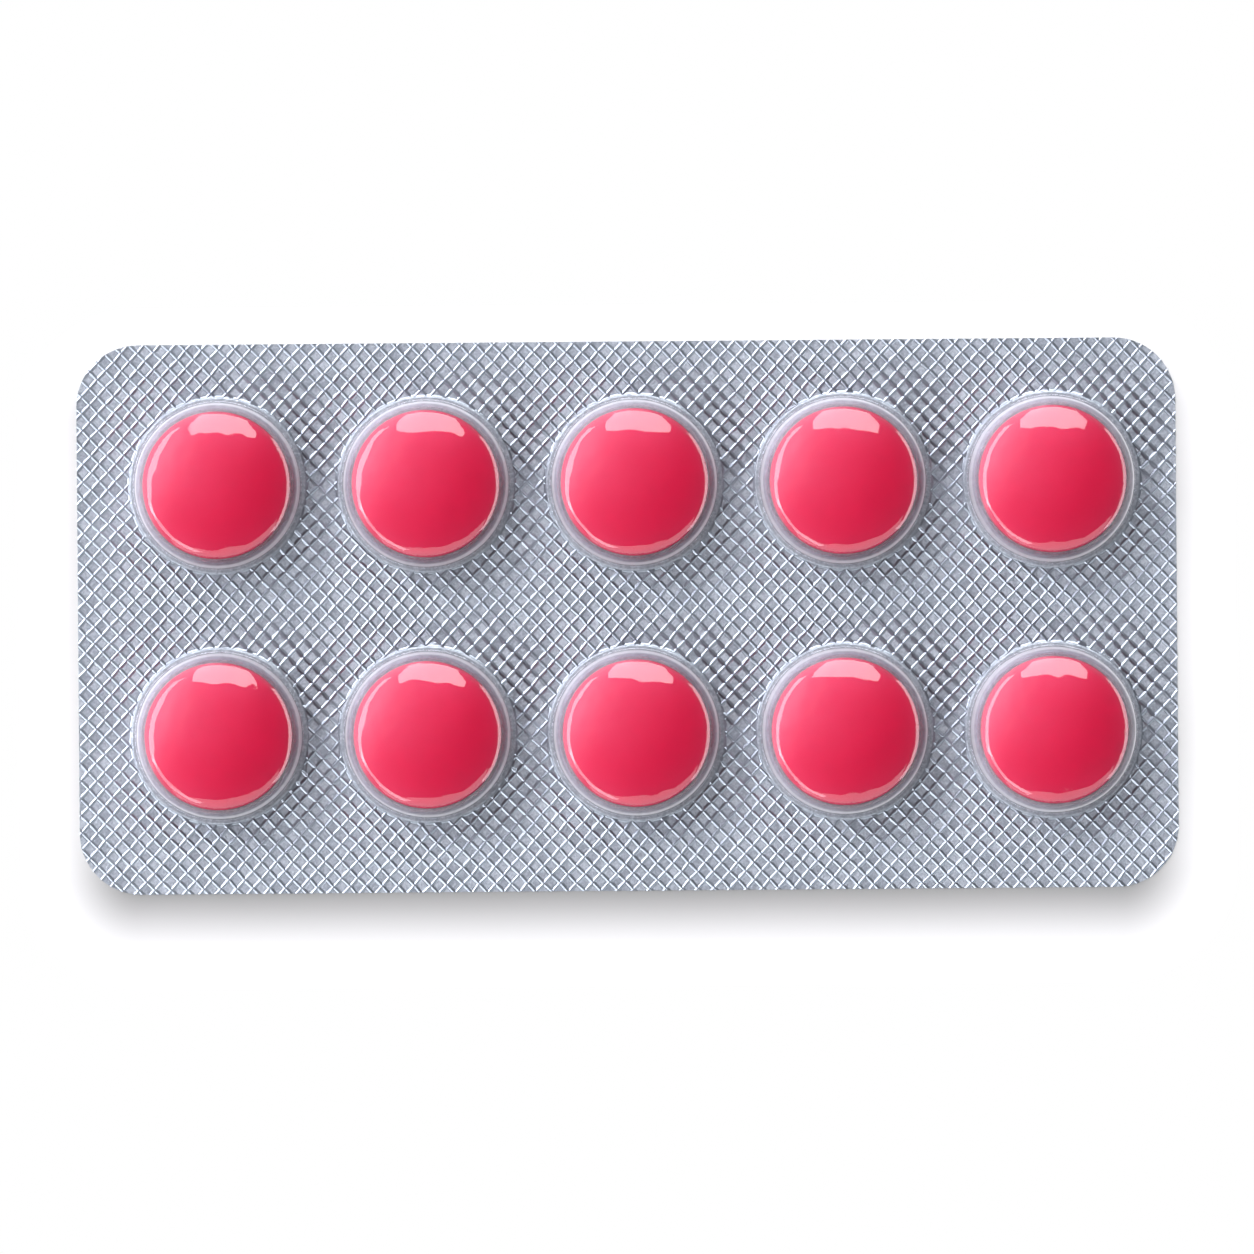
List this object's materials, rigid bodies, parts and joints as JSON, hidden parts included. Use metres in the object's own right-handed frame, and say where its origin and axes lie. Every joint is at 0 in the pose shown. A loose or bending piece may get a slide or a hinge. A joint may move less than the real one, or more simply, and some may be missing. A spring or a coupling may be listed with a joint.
{
  "type": "pill blister pack",
  "caption": "Flat rectangular blister pack: clear thermoformed film with domed pockets, a round coated tablet sealed in each, and an aluminium lidding foil across the back.",
  "frame": {"origin": "middle of the card's outline on the underside of the foil, the face that the pack lies on", "axes": "+X along the card's long side, +Y along its short side towards the back row of pockets, +Z from the foil to the pocket tops"},
  "size_m": [0.082, 0.041, 0.0056],
  "materials": {
    "clear_film": "gloss",
    "lidding_foil": "satin",
    "tablet_coating": "gloss"
  },
  "bodies": {
    "root": {"clear_blister_film": "clear_film", "lidding_foil": "lidding_foil", "tablet_01": "tablet_coating", "tablet_02": "tablet_coating", "tablet_03": "tablet_coating", "tablet_04": "tablet_coating", "tablet_05": "tablet_coating", "tablet_06": "tablet_coating", "tablet_07": "tablet_coating", "tablet_08": "tablet_coating", "tablet_09": "tablet_coating", "tablet_10": "tablet_coating"}
  },
  "joints": []
}
